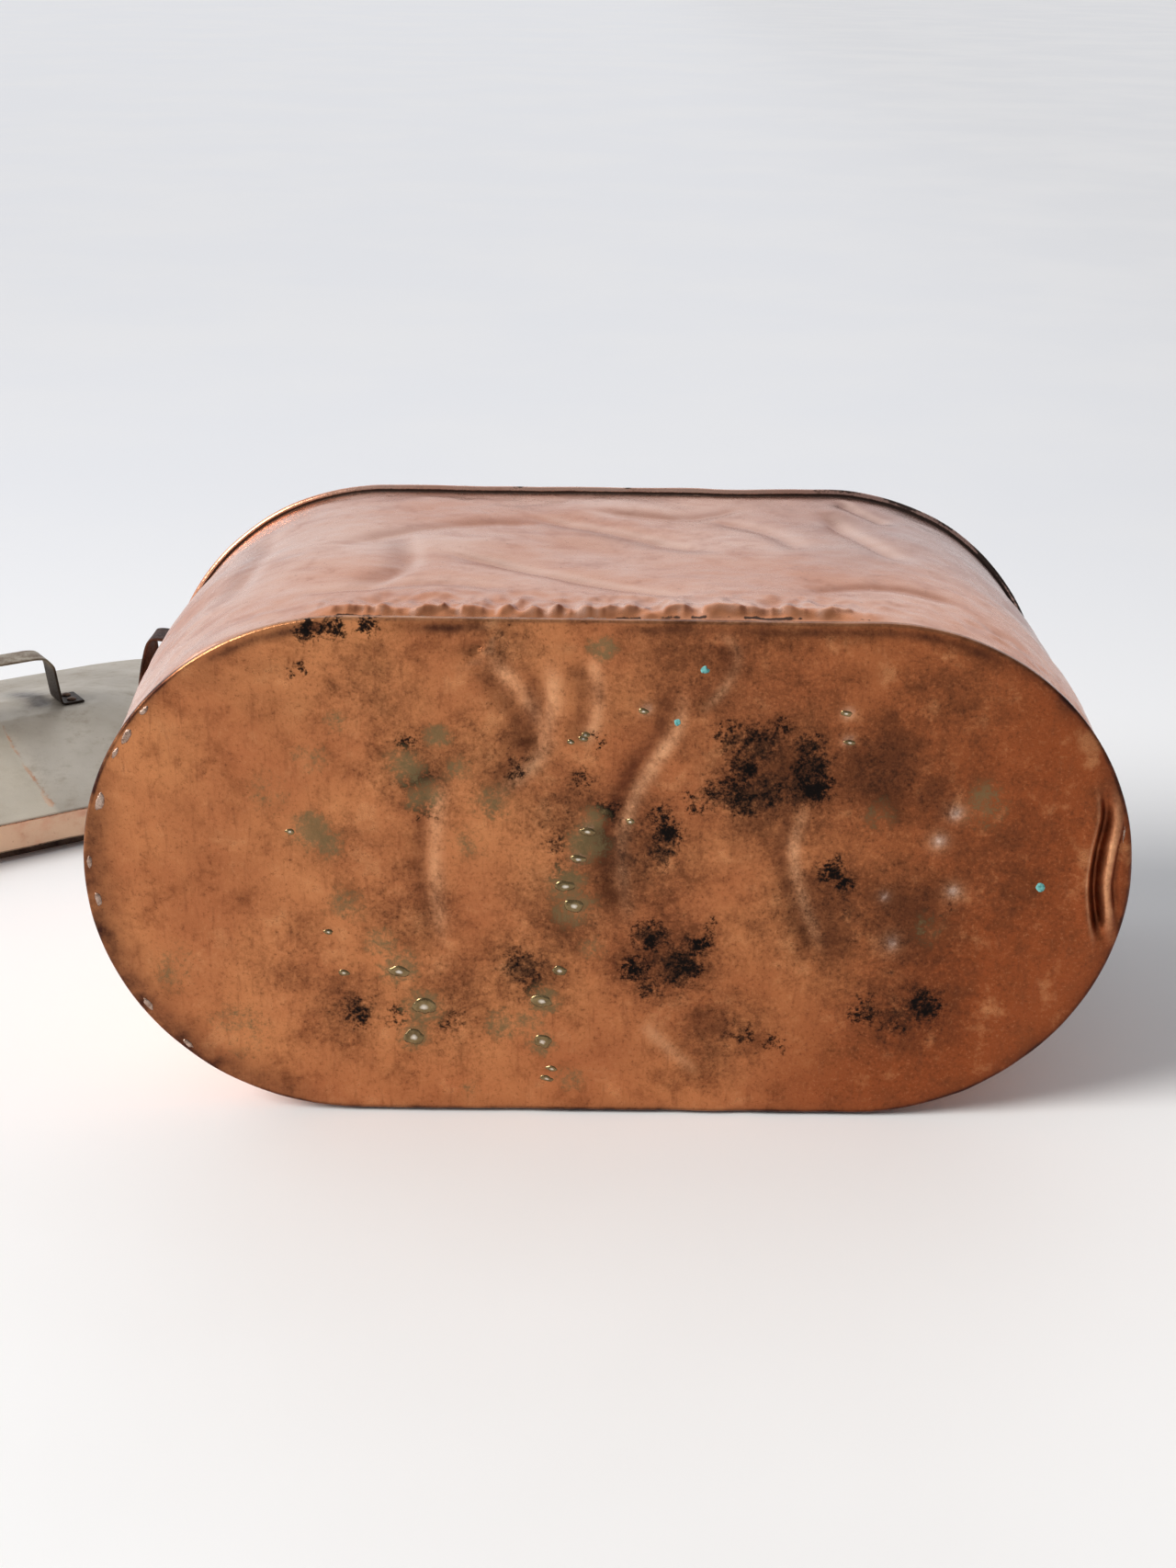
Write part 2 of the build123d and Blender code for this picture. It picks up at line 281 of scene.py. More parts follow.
class Finish:
    """A material that starts as one colour and is painted over in layers. Most calls add a node,
    and give back the socket to use next."""

    def __init__(self, name, colour):
        self.material = bpy.data.materials.new(name)
        self.material.use_nodes = True
        self.tree = self.material.node_tree
        self.shader = self.tree.nodes["Principled BSDF"]
        self.place = self.tree.nodes.new("ShaderNodeTexCoord").outputs["Object"]
        self.colour = colour

    def put(self, socket, value):
        """Links another socket to this one, or sets a constant on it."""
        if isinstance(value, bpy.types.NodeSocket):
            self.tree.links.new(value, socket)
        else:
            socket.default_value = value

    def add(self, kind, inputs, **settings):
        """Outputs of a new node with these settings, whose inputs are sockets or constants."""
        node = self.tree.nodes.new(kind)
        for key, value in settings.items():
            setattr(node, key, value)
        for key, value in inputs.items():
            self.put(node.inputs[key], value)
        return node.outputs

    def noise(self, size, detail=4.0, rough=0.6, stretch=(1, 1, 1), warp=0.0):
        """Noise about size metres across, drawn out along each axis by stretch. The pattern is
        moved so that its centre, where its octaves meet, is clear of the object."""
        place = self.add("ShaderNodeMapping", {
            "Vector": self.place, "Location": (3.7, 5.3, 4.1), "Scale": [1 / s for s in stretch],
        })["Vector"]
        return self.add("ShaderNodeTexNoise", {
            "Vector": place, "Scale": 1 / size, "Detail": detail, "Roughness": rough, "Distortion": warp,
        })["Fac"]

    def mask(self, key):
        """Number that the piece's points carry."""
        return self.add("ShaderNodeAttribute", {}, attribute_name=key)["Fac"]

    def span(self, value, low, high, to_low=0.0, to_high=1.0):
        """Value from low to high, eased to run from to_low to to_high."""
        return self.add("ShaderNodeMapRange", {
            "Value": value, "From Min": low, "From Max": high, "To Min": to_low, "To Max": to_high,
        }, interpolation_type="SMOOTHSTEP")["Result"]

    def sum(self, a, b, how="ADD"):
        return self.add("ShaderNodeMath", {0: a, 1: b}, operation=how)[0]

    def times(self, a, b):
        return self.sum(a, b, "MULTIPLY")

    def paint(self, share, over):
        """Lays a colour over the colour so far, fully where share is 1."""
        layers = {"Factor": share, "A": self.colour, "B": over}
        self.colour = self.add("ShaderNodeMix", layers, data_type="RGBA")["Result"]
        self.put(self.shader.inputs["Base Color"], self.colour)

    def roughness(self, value):
        self.put(self.shader.inputs["Roughness"], value)

    def metallic(self, value):
        self.put(self.shader.inputs["Metallic"], value)

    def bump(self, height, depth):
        """Raises the surface by height times depth metres."""
        raised = self.add("ShaderNodeBump", {"Strength": 1.0, "Distance": depth, "Height": height})
        self.put(self.shader.inputs["Normal"], raised["Normal"])


def browned_copper():
    """Bottom: satin copper, browned by fire and darker to the right with painted shade, with soot,
    verdigris, a darker edge, and painted shade, highlights and glints on its dents and bumps.
    """
    f = Finish("browned_copper", shade(202, 132, 84))
    broad, cloud = f.noise(0.09, 3), f.noise(0.024, 6, 0.68)
    fleck, speck = f.noise(0.007, 6, 0.72, warp=0.4), f.noise(0.0022, 4, 0.75)
    streak = f.noise(0.01, 5, 0.65, (0.4, 1, 2.6))
    broken = f.sum(f.sum(fleck, speck), -1.0)
    clotted = f.sum(f.sum(cloud, -0.5), broken)

    # Copper, mottled, and browner to the right: browning with painted shade on the side away from the light
    f.paint(f.span(broad, 0.3, 0.7), shade(178, 108, 68))
    f.paint(f.mask("brown_and_shade"), shade(148, 76, 40))
    f.paint(f.span(cloud, 0.48, 0.74, 0, 0.65), shade(134, 74, 42))
    f.paint(f.span(cloud, 0.46, 0.28, 0, 0.4), shade(218, 154, 104))
    f.paint(f.span(streak, 0.52, 0.75, 0, 0.5), shade(128, 72, 44))
    f.paint(f.span(speck, 0.54, 0.72, 0, 0.5), shade(98, 50, 29))
    f.paint(f.span(speck, 0.45, 0.3, 0, 0.25), shade(206, 146, 100))

    # Painted highlight on lit flanks, ridges and bumps with some wear, painted shade on shaded flanks and in
    # creases with some dirt, painted glints on the bumps, and the dark edge
    f.paint(f.times(f.mask("lit_and_worn"), f.span(cloud, 0.35, 0.65, 0.9, 0.4)), shade(238, 178, 132))
    darkened = f.times(f.mask("shade_and_dirt"), f.span(cloud, 0.35, 0.65, 0.5, 1.0))
    f.paint(f.times(darkened, 0.8), shade(88, 42, 24))
    f.paint(f.times(f.mask("painted_highlight"), f.span(fleck, 0.35, 0.6, 0.9, 0.4)), shade(244, 222, 208))
    f.paint(f.times(f.mask("edge"), f.span(cloud, 0.3, 0.7, 0.5, 1.1)), shade(58, 29, 22))

    # Smoke, its specks, soot, verdigris, and the tinned inside
    haze = f.sum(f.mask("smoke"), f.times(clotted, 0.9))
    f.paint(f.span(haze, 0.0, 0.85, 0, 0.82), shade(80, 44, 26))
    peppered = f.sum(f.sum(f.mask("smoke"), f.mask("soot")), f.times(broken, 1.8))
    f.paint(f.span(peppered, 0.65, 1.35, 0, 0.75), shade(40, 25, 17))
    broken_by = f.span(f.mask("soot"), 0.0, 0.4, 0.6, 2.8)
    soot = f.span(f.sum(f.mask("soot"), f.times(clotted, broken_by)), 0.4, 1.05)
    f.paint(f.times(soot, 0.96), shade(12, 9, 8))
    broken_by = f.span(f.mask("green"), 0.0, 0.5, 0.3, 1.5)
    green = f.span(f.sum(f.mask("green"), f.times(clotted, broken_by)), 0.2, 0.85)
    f.paint(f.times(green, 0.78), shade(128, 106, 68))
    f.paint(f.mask("inside"), shade(150, 144, 136))

    f.metallic(f.span(green, 0, 1, 0.88, 0.6))
    crusted = f.times(f.sum(soot, green, "MAXIMUM"), 0.3)
    f.roughness(f.sum(f.span(cloud, 0.3, 0.7, 0.27, 0.38), crusted))
    f.bump(f.sum(f.times(cloud, 0.8), f.sum(speck, f.times(fleck, 0.6))), 0.0003)
    return f.material


def bright_copper(name, light, dark, rough):
    """Wall and skirt: handled copper in pink and brown tones, with painted reflections and highlights, and
    painted shade in folds, under the rim, beside the hem and to the right.
    """
    f = Finish(name, light)
    broad, cloud = f.noise(0.11, 3, 0.5, (1.6, 1, 1)), f.noise(0.02, 6, 0.7)
    speck, streak = f.noise(0.003, 4, 0.7), f.noise(0.016, 5, 0.6, (3.2, 1, 1))
    f.paint(f.span(broad, 0.35, 0.65), dark)
    f.paint(f.span(streak, 0.48, 0.7, 0, 0.5), shade(196, 130, 104))
    f.paint(f.span(cloud, 0.52, 0.76, 0, 0.5), shade(176, 108, 82))
    f.paint(f.span(speck, 0.62, 0.74, 0, 0.6), shade(96, 60, 48))
    # Grey, with painted shade to the right on the wall; painted orange reflection; then painted shade and
    # painted highlight on folds and lumps
    f.paint(f.mask("grey_and_shade"), shade(176, 152, 148))
    f.paint(f.mask("orange_and_reflection"), shade(232, 152, 106))
    f.paint(f.times(f.mask("shade_and_dirt"), 0.65), shade(132, 68, 46))
    f.paint(f.times(f.mask("lit_and_worn"), 0.7), shade(250, 214, 196))
    broken = f.sum(f.sum(cloud, speck), -1.0)
    # Painted shade under the wall's rim and beside its hem, with grime in random patches
    shade_and_grime = f.span(f.sum(f.mask("shade_and_grime"), f.times(broken, 1.1)), 0.35, 0.75)
    f.paint(f.times(shade_and_grime, 0.92), shade(30, 21, 16))
    f.paint(f.mask("inside"), shade(166, 158, 148))
    f.metallic(f.span(shade_and_grime, 0, 1, 0.95, 0.7))
    f.roughness(f.sum(f.span(cloud, 0.3, 0.7, rough - 0.05, rough + 0.08), f.times(shade_and_grime, 0.3)))
    height = f.sum(f.times(cloud, 0.6), speck)
    f.bump(f.times(height, f.span(f.mask("inside"), 0, 0.9, 1, 0.2)), 0.00016)
    return f.material


def plain_metal(name, light, dark, rough, metallic, size=0.012, pits=0.0002, painted_light_and_shade=shade(40, 27, 22)):
    """Small parts: two tones of one metal in clouds, with dark pits, a rough grain, and painted light and
    shade in a colour of its own where the piece's mask asks for it.
    """
    f = Finish(name, light)
    cloud, speck = f.noise(size, 5, 0.65), f.noise(size / 8, 4, 0.7)
    f.paint(f.span(cloud, 0.35, 0.7), dark)
    f.paint(f.span(speck, 0.6, 0.75, 0, 0.5), dark)
    # Painted light and shade: shade on the lid strap's legs, glints on the drips' crowns
    f.paint(f.mask("painted_light_and_shade"), painted_light_and_shade)
    f.metallic(metallic)
    f.roughness(f.span(speck, 0.3, 0.7, rough - 0.07, rough + 0.12))
    f.bump(f.sum(cloud, speck), pits)
    return f.material


def old_tin():
    """Lid's roof: dull tinned sheet with rust, a painted highlight on one facet, and dark patches by the
    handle that are painted shadow with dirt.
    """
    f = Finish("old_tin", shade(190, 181, 168))
    broad, cloud, speck = f.noise(0.1, 4), f.noise(0.018, 6, 0.7), f.noise(0.0025, 4, 0.75)
    f.paint(f.span(broad, 0.3, 0.7), shade(168, 158, 144))
    f.paint(f.span(cloud, 0.5, 0.75, 0, 0.5), shade(140, 126, 108))
    f.paint(f.span(speck, 0.62, 0.72, 0, 0.5), shade(110, 92, 76))
    rust = f.span(f.sum(f.mask("rust"), f.sum(f.sum(cloud, speck), -1.0)), 0.35, 0.75)
    f.paint(f.times(rust, 0.85), shade(150, 88, 44))
    # Painted highlight on the lit facet beside the fold, then painted shadow with dirt by the handle
    f.paint(f.times(f.mask("painted_highlight"), 0.45), shade(220, 208, 186))
    f.paint(f.times(f.mask("shadow_and_stain"), f.span(cloud, 0.3, 0.7, 0.7, 1.0)), shade(44, 34, 30))
    f.metallic(f.span(f.sum(rust, f.mask("shadow_and_stain"), "MAXIMUM"), 0, 1, 0.6, 0.1))
    f.roughness(f.span(cloud, 0.3, 0.7, 0.42, 0.58))
    f.bump(f.sum(f.times(cloud, 0.5), speck), 0.00015)
    return f.material


def painted_floor():
    """White painted floor, with painted shade that makes it a little bluer far off and greyer to the right.
    """
    f = Finish("painted_floor", shade(248, 247, 246))
    place = f.add("ShaderNodeSeparateXYZ", {0: f.place})
    # Painted shade: bluer grey far off, and greyer to the right
    f.paint(f.span(place["Y"], -0.2, 1.6), shade(226, 227, 231))
    f.paint(f.span(place["X"], 0.2, 1.6, 0, 0.6), shade(212, 212, 214))
    f.paint(f.span(f.noise(0.5, 3), 0.35, 0.7, 0, 0.25), shade(236, 234, 232))
    f.metallic(0.0)
    f.roughness(0.55)
    f.bump(f.noise(0.02, 4), 0.0001)
    return f.material


BOTTOM = browned_copper()
WALL = bright_copper("bright_copper", shade(240, 194, 172), shade(220, 154, 122), 0.26)
SKIRT = bright_copper("skirt_copper", shade(214, 188, 158), shade(192, 162, 132), 0.36)
TIN = old_tin()
STRAP = plain_metal("strap_iron", shade(86, 52, 38), shade(46, 27, 20), 0.5, 0.75)
LID_STRAP = plain_metal("tinned_strap", shade(168, 156, 138), shade(118, 98, 78), 0.45, 0.75)
RIVET = plain_metal("copper_rivet", shade(206, 140, 100), shade(140, 84, 56), 0.35, 0.95, 0.004, 0.0001)
SOLDER = plain_metal("dull_solder", shade(186, 160, 144), shade(120, 92, 76), 0.25, 0.85, 0.004)
OLD_RIVET = plain_metal("dulled_rivet", shade(112, 84, 66), shade(62, 44, 34), 0.45, 0.8, 0.004)
# The drips' painted light is a near-white glint on their crowns
DRIP = plain_metal("tarnished_solder", shade(140, 118, 82), shade(100, 82, 54), 0.2, 0.85, 0.006, 0.00004,
                   painted_light_and_shade=shade(250, 240, 226))
WIRE = plain_metal("iron_wire", shade(96, 84, 76), shade(60, 46, 40), 0.5, 0.9, 0.006)
# The lid's collar is darkened: painted shade for the deep shadow under the skirt
COLLAR_IN_SHADE = plain_metal("shaded_tin_collar", shade(96, 82, 72), shade(56, 44, 37), 0.5, 0.7, 0.02)
CRUST = plain_metal("verdigris", shade(120, 190, 186), shade(64, 128, 124), 0.8, 0.0, 0.002)


# ---------------------------------------------------------------- bottom

# Folds in the bottom: points (x, z), depth, width to the left and to the right
BOTTOM_FOLDS = [
    ([(9, -36), (2, 14), (9, 48), (20, 70), (32, 92), (36, 120)], 4.8, 9, 8),
    ([(122, -52), (107, -11), (101, 15), (103, 34), (108, 52)], 3.8, 7, 7),
    ([(-72, 50), (-46, 72), (-42, 86), (-37, 107), (-40, 134)], 3.4, 10, 9),
    ([(-34, 70), (-52, 104), (-76, 132)], 3.0, 9, 9),
    ([(-18, 78), (-12, 104), (-16, 136)], 2.6, 9, 8),
    ([(-100, -50), (-104, 13), (-98, 70)], 2.6, 7, 9),
    ([(46, 100), (60, 117), (65, 133), (54, 146)], 2.2, 7, 6),
    ([(22, -88), (39, -106), (60, -126)], 2.0, 9, 7),
]
# Outward bumps and inward dimples: x, z, radius, height outwards
BOTTOM_BUMPS = [
    (186, 24, 6, 0.9), (194, 41, 6, 0.8), (196, -7, 6, 0.9), (157, -10, 5, 0.7), (163, -39, 7, 0.7),
    (19, 101, 4, 0.6), (130, 100, 4, 0.6), (131, 84, 4, 0.5), (-12, 28, 5, 0.8), (-17, 11, 5, 0.7),
]
# Places of soot, smoke and verdigris: x, z, radius, strength
SOOT = [
    (66, 86, 10, 0.8), (82, 84, 11, 0.9), (96, 92, 7, 0.6), (111, 82, 8, 0.8), (115, 70, 9, 1.0),
    (112, 58, 11, 1.15), (88, 54, 9, 0.85), (74, 50, 11, 1.05), (60, 52, 10, 0.9), (74, 68, 10, 0.7),
    (48, 48, 9, 0.75), (34, 28, 9, 0.9), (32, 16, 8, 0.75), (30, 38, 8, 0.7), (-8, 22, 9, 0.85),
    (-2, 40, 8, 0.75), (24, -36, 10, 1.0), (17, -58, 9, 0.85), (26, -72, 8, 0.7), (43, -56, 12, 1.0),
    (53, -42, 8, 0.7), (-49, -58, 11, 0.85), (-42, -74, 9, 0.7), (127, 7, 9, 0.75), (136, -2, 7, 0.6),
    (-144, -88, 11, 0.75), (-122, -92, 11, 0.65), (-90, -96, 10, 0.6), (-8, 83, 8, 0.6), (186, -80, 11, 0.8),
    (151, -84, 11, 0.7), (168, -92, 9, 0.6), (-150, 147, 8, 0.95), (-168, 145, 7, 0.9), (-134, 148, 7, 0.85),
    (-158, 144, 6, 0.8), (-112, 80, 8, 0.65), (-108, 58, 10, 0.7), (-104, 40, 9, 0.65), (-176, 118, 5, 0.8),
    (80, -100, 9, 0.5), (100, -106, 9, 0.5), (-30, 20, 9, 0.6), (-26, 2, 8, 0.65), (-52, 66, 9, 0.6),
    (-170, 123, 5, 0.7), (60, -30, 7, 0.5), (-14, 60, 8, 0.55),
]
SMOKE = [
    (95, 62, 52, 0.8), (152, 66, 36, 0.9), (182, 52, 24, 0.7), (10, 14, 44, 0.8), (-22, 40, 36, 0.65),
    (-60, 70, 38, 0.5), (36, -52, 38, 0.75), (-110, -24, 34, 0.5), (-92, -80, 40, 0.55), (172, -26, 44, 0.8),
    (176, -80, 42, 0.7), (66, -96, 34, 0.6), (-150, -84, 26, 0.6), (-106, 60, 30, 0.65), (-60, 138, 24, 0.6),
    (-44, -60, 32, 0.65), (126, -20, 44, 0.75), (-150, 20, 24, 0.4), (190, 110, 40, 0.5), (60, 128, 70, 0.5),
    (-20, -20, 40, 0.65), (220, 10, 60, 0.45), (-180, -60, 40, 0.3), (-130, 110, 40, 0.35),
]
GREEN = [
    (-168, 26, 13, 0.85), (-158, 18, 11, 0.7), (-120, -58, 13, 0.9), (-106, -84, 13, 0.9),
    (-112, -102, 11, 0.85), (-114, 66, 12, 0.85), (-104, 48, 12, 0.8), (-96, 84, 9, 0.7),
    (-84, 64, 10, 0.6), (-5, 137, 9, 0.75), (-12, 20, 13, 0.9), (-19, -18, 14, 0.85), (-24, -6, 14, 0.85),
    (-37, -79, 11, 0.85), (-37, -106, 10, 0.8), (-9, 34, 10, 0.75), (-60, -96, 12, 0.7),
    (-45, -92, 11, 0.7), (212, 46, 16, 0.6), (-168, 70, 12, 0.55), (-130, -42, 11, 0.65),
    (-80, -140, 9, 0.5), (-8, -44, 9, 0.6), (-152, 92, 10, 0.5), (-250, -60, 20, 0.45),
    (-215, -100, 24, 0.45), (-190, 50, 18, 0.4), (-66, 44, 16, 0.5), (-150, -20, 18, 0.4),
    (-80, 20, 16, 0.4), (150, 40, 14, 0.4), (186, -30, 14, 0.45), (-20, -130, 12, 0.5),
]
# Crease beside the bottom's right edge
BUCKLE = [(285, -44), (280, -20), (277, 0), (278, 20), (280, 42), (275, 66)]


def bottom_relief(x, z):
    """Inward dents of the bottom in millimetres, with shares of painted shade (with some dirt) and of
    painted highlight (with some wear): folds, bumps, a gnarled patch at the upper left, the buckle beside
    the right edge, and three sizes of random unevenness."""
    points = np.stack([x, 0 * x, z], -1)
    depth, shade_and_dirt, lit_and_worn = folded(x, z, BOTTOM_FOLDS)
    depth += 1.3 * grain(points, 60, 1) + 1.0 * grain(points, 26, 2) + 0.34 * grain(points, 10, 3, 2)
    depth -= spots(x, z, BOTTOM_BUMPS)
    # Painted highlight on the outward bumps
    lit_and_worn = np.maximum(lit_and_worn, spots(x - 1, z - 1, BOTTOM_BUMPS))
    gnarl, knobs = hill(np.hypot(x + 68, z - 138), 13), grain(points, 7, 4, 2)
    depth += gnarl * (2.2 * knobs + 0.8)
    shade_and_dirt, lit_and_worn = np.maximum(shade_and_dirt, 1.4 * gnarl * knobs), np.maximum(lit_and_worn, -1.2 * gnarl * knobs)
    away, share = beside(x, z, BUCKLE)
    ends = smooth(share * 3.5) * smooth((1 - share) * 3.5)
    fold = 7.5 * hill(away - 1.0, 3.2) - 2.6 * hill(away + 6, 5) - 2.4 * hill(away - 7, 3.2)
    fold += 2.4 * hill(away - 12, 1.8)
    # Painted shade in the buckle's groove and on the thin line past it, painted reflection on its ridges
    dark = np.maximum(hill(away - 0.5, 2.6), 0.8 * hill(away - 12, 1.3)) * ends
    painted_highlight = np.maximum(hill(away + 3.6, 1.2), 0.9 * hill(away - 6.5, 2.4)) * ends
    depth += fold * ends * (1 + 0.2 * grain(points, 14, 5))
    return depth, np.maximum(shade_and_dirt, 1.2 * dark), np.maximum(lit_and_worn * (1 - dark), painted_highlight)


def face_depth(x, z, reach):
    """Depth of the bottom's face at a radius reach, with its painted shade and painted highlight. The
    dents fade at the hem, except at the buckle. The hem wavers by itself, and the whole face bulges
    outwards by 1.2 (1 - (reach / hem radius)^2)."""
    from_edge = HEM_RADIUS - reach
    relief, shade_and_dirt, lit_and_worn = bottom_relief(x, z)
    free = smooth(from_edge / 14)
    buckled = smooth((x - 262) / 14) * hill(z - 8, 60)
    relief = relief * np.maximum(free, buckled * smooth(from_edge / 3))
    hem = 0.5 * grain(np.stack([x, 0 * x, z], -1), 22, 6, 2) * smooth(1 - from_edge / 10)
    bulge = 1.2 * (1 - (reach / HEM_RADIUS) ** 2)
    return relief + hem - bulge, shade_and_dirt * free, lit_and_worn


def oval(s, side, radius, straight=END_X):
    """Points of an oval at s: the centre keeps its share of the straight, and the radius turns
    through (s - centre) / hem radius past the straight's end."""
    centre = np.clip(s, -END_X, END_X)
    turn = (s - centre) / HEM_RADIUS
    return centre * straight / END_X + radius * np.sin(turn), side * radius * np.cos(turn)


def whole_round(count):
    """s and side of count columns round the whole oval."""
    s = np.linspace(-HALF_ROUND, HALF_ROUND, count // 2, endpoint=False)
    return np.concatenate([s, -s]), np.repeat([1.0, -1.0], count // 2)


def arc(centre, radius, start, end, count):
    """Profile points (r, y) on an arc, with angles in degrees from the outward direction."""
    turn = np.radians(np.linspace(start, end, count))
    return np.stack([centre[0] + radius * np.cos(turn), centre[1] + radius * np.sin(turn)], -1)


def run(start, end, count):
    """Evenly spaced profile points, without the last."""
    return np.linspace(start, end, count, endpoint=False)


def make_bottom():
    """Bottom: the profile runs out over the face, round the hem and back in over the inside, and
    is carried round the oval. The dents push the face and the inside alike."""
    corner, lip, back, fine_from = 1.6, 0.7, PAN_SHEET + 0.5, HEM_RADIUS - 36
    coarse_rows, fine_rows, corner_rows, lip_rows = 54, 30, 6, 4
    profile = np.vstack([
        run((0, 0), (fine_from, 0), coarse_rows),
        run((fine_from, 0), (HEM_RADIUS - corner, 0), fine_rows),
        arc((HEM_RADIUS - corner, corner), corner, -90, 0, corner_rows),
        arc((HEM_RADIUS - lip, HEM_DEPTH - lip), lip, 0, 90, lip_rows),
        run((WALL_RADIUS + 0.1, HEM_DEPTH), (WALL_RADIUS + 0.1, back), 2),
        run((WALL_RADIUS, back), (fine_from, back), 24),
        np.linspace((fine_from, back), (0, back), 30),
    ])
    front_rows = coarse_rows + fine_rows + corner_rows + lip_rows
    front = (np.arange(len(profile)) < front_rows)[:, None]
    s, side = whole_round(660)
    r, y = profile.T[:, :, None]
    x, z = oval(s, side, r)
    points = np.stack([x, 0 * x, z], -1)
    inward, shade_and_dirt, lit_and_worn = face_depth(x, z, r)
    grid = np.stack([x, y + inward, z], -1)

    # The edge is dark all round but for its top, and darkest at the left and the right
    from_edge = HEM_RADIUS - r
    top = smooth((z - 110) / 25)
    edge = np.exp(-from_edge / 3.0) * (0.7 + 0.5 * grain(points, 30, 7, 2)) + 0.6 * (from_edge < corner)
    left = smooth((80 - z) / 60) * smooth((-130 - x) / 100) * hill(from_edge, 14) * 0.95
    right = smooth((x - 180) / 60) * hill(from_edge, 7) * 0.6
    edge = np.maximum(edge * (1 - 0.9 * top), np.maximum(left, right))
    smudge = top * hill(from_edge - 5, 3) * smooth(0.6 * grain(points, 40, 9, 2) + 0.4)
    lit_and_worn = np.maximum(lit_and_worn, top * hill(from_edge, 1.2) * 0.4)
    # Painted glints just beside the bumps
    bump_glints = [(a + 1, b + 1, 0.5 * radius, strength) for a, b, radius, strength in BOTTOM_BUMPS]
    masks = {
        "soot": spots(x, z, SOOT) * front,
        "smoke": spots(x, z, SMOKE) * front,
        "green": spots(x, z, GREEN) * front,
        "edge": np.clip(np.maximum(edge, smudge), 0, 1) * front,
        "shade_and_dirt": np.clip(shade_and_dirt, 0, 1) * front,
        "lit_and_worn": np.clip(lit_and_worn, 0, 1) * front,
        "painted_highlight": spots(x, z, bump_glints) * front,
        # Browner and darker to the right: browning with painted shade on the side away from the light
        "brown_and_shade": smooth((x + 20 + 40 * grain(points, 70, 8)) / 260) * front,
        "inside": 0.9 * (1 - front),
    }
    return build("beaten_bottom", grid, BOTTOM, "boiler", ["bottom_pan"], masks=masks)


# ---------------------------------------------------------------- wall

# Folds in the upper wall: points (s, y), depth, width to the left and to the right
WALL_FOLDS = [
    ([(182, 138), (156, 200), (136, 252)], 5.0, 7, 12),
    ([(186, 232), (163, 258), (148, 280)], 3.6, 5, 8),
    ([(60, 40), (18, 69), (-60, 118), (-113, 140)], 4.2, 12, 8),
    ([(76, 149), (10, 190), (-60, 229)], 3.6, 13, 9),
    ([(-150, 60), (-120, 110), (-128, 190)], 3.0, 16, 9),
    ([(120, 150), (100, 200), (60, 236)], 3.0, 10, 13),
    ([(-230, 80), (-215, 170), (-225, 240)], 2.4, 16, 12),
    ([(100, 60), (150, 82), (210, 70)], 3.0, 9, 12),
    ([(-20, 240), (40, 232), (96, 262)], 2.4, 9, 9),
    ([(-170, 150), (-100, 196), (-30, 214)], 2.6, 11, 9),
    ([(-40, 60), (-110, 74), (-190, 60)], 2.6, 9, 12),
]


def upper_relief(s, y, points):
    """Outward relief of the upper wall, with shares of painted shade, painted highlight and gap shade:
    folds, a crinkled band of lumps behind the hem, broad hollows and random unevenness. Going along X,
    painted shade lies where the lumps fall, and painted highlight where they rise or stand high."""
    depth, shade_and_dirt, lit_and_worn = folded(s, y, WALL_FOLDS)
    height = 2.2 * grain(points, 80, 11) + 1.3 * grain(points, 34, 12) + 0.3 * grain(points, 12, 13, 2)
    height -= depth
    along = smooth((s + 185) / 50) * smooth((165 - s) / 60)
    flutes = [grain((points + [shift, 0, 0]) * [1, 0.55, 1], 7, 14, 2) for shift in (0, 2.5)]
    lumps, lean = flutes[0], flutes[0] - flutes[1]
    band = smooth((y - 8) / 13) * np.exp(-np.maximum(y - 20, 0) / 17) * along
    height += band * (4.6 + 3.4 * lumps + 0.5 * grain(points, 5, 15))
    height += 1.8 * hill(y - 42, 16) * smooth((s + 230) / 60) * grain(points, 17, 16, 2)
    height -= 2.4 * hill(s - 20, 90) * hill(y - 125, 60)
    height += 2.2 * hill(s + 110, 60) * hill(y - 200, 60)
    height += (4.4 - 0.8 * np.sign(s)) * smooth((np.abs(s) - 150) / 90) * hill(y - 150, 85)
    # Painted shade in the gap at the foot of the low lumps just behind the hem
    gap = along * hill(y - 11, 2.2) * smooth(0.4 - 1.8 * lumps)
    # Painted shade where the lumps fall, painted highlight where they rise or stand high
    shade_and_dirt = np.maximum(0.75 * shade_and_dirt, band * smooth(2.2 * lean) * 1.3)
    return height, shade_and_dirt, np.maximum(0.8 * lit_and_worn, band * smooth(-1.6 * lean + 0.6 * lumps)), gap


def lower_relief(s, y, points):
    """Outward relief of the lower wall, which lies on the floor: shallow unevenness, with no painted
    shade, highlight or gap shade."""
    height = 0.5 * grain(points, 70, 21) + 0.25 * grain(points, 26, 22) + 0.08 * grain(points, 10, 23, 2)
    return height, 0 * height, 0 * height, 0 * height


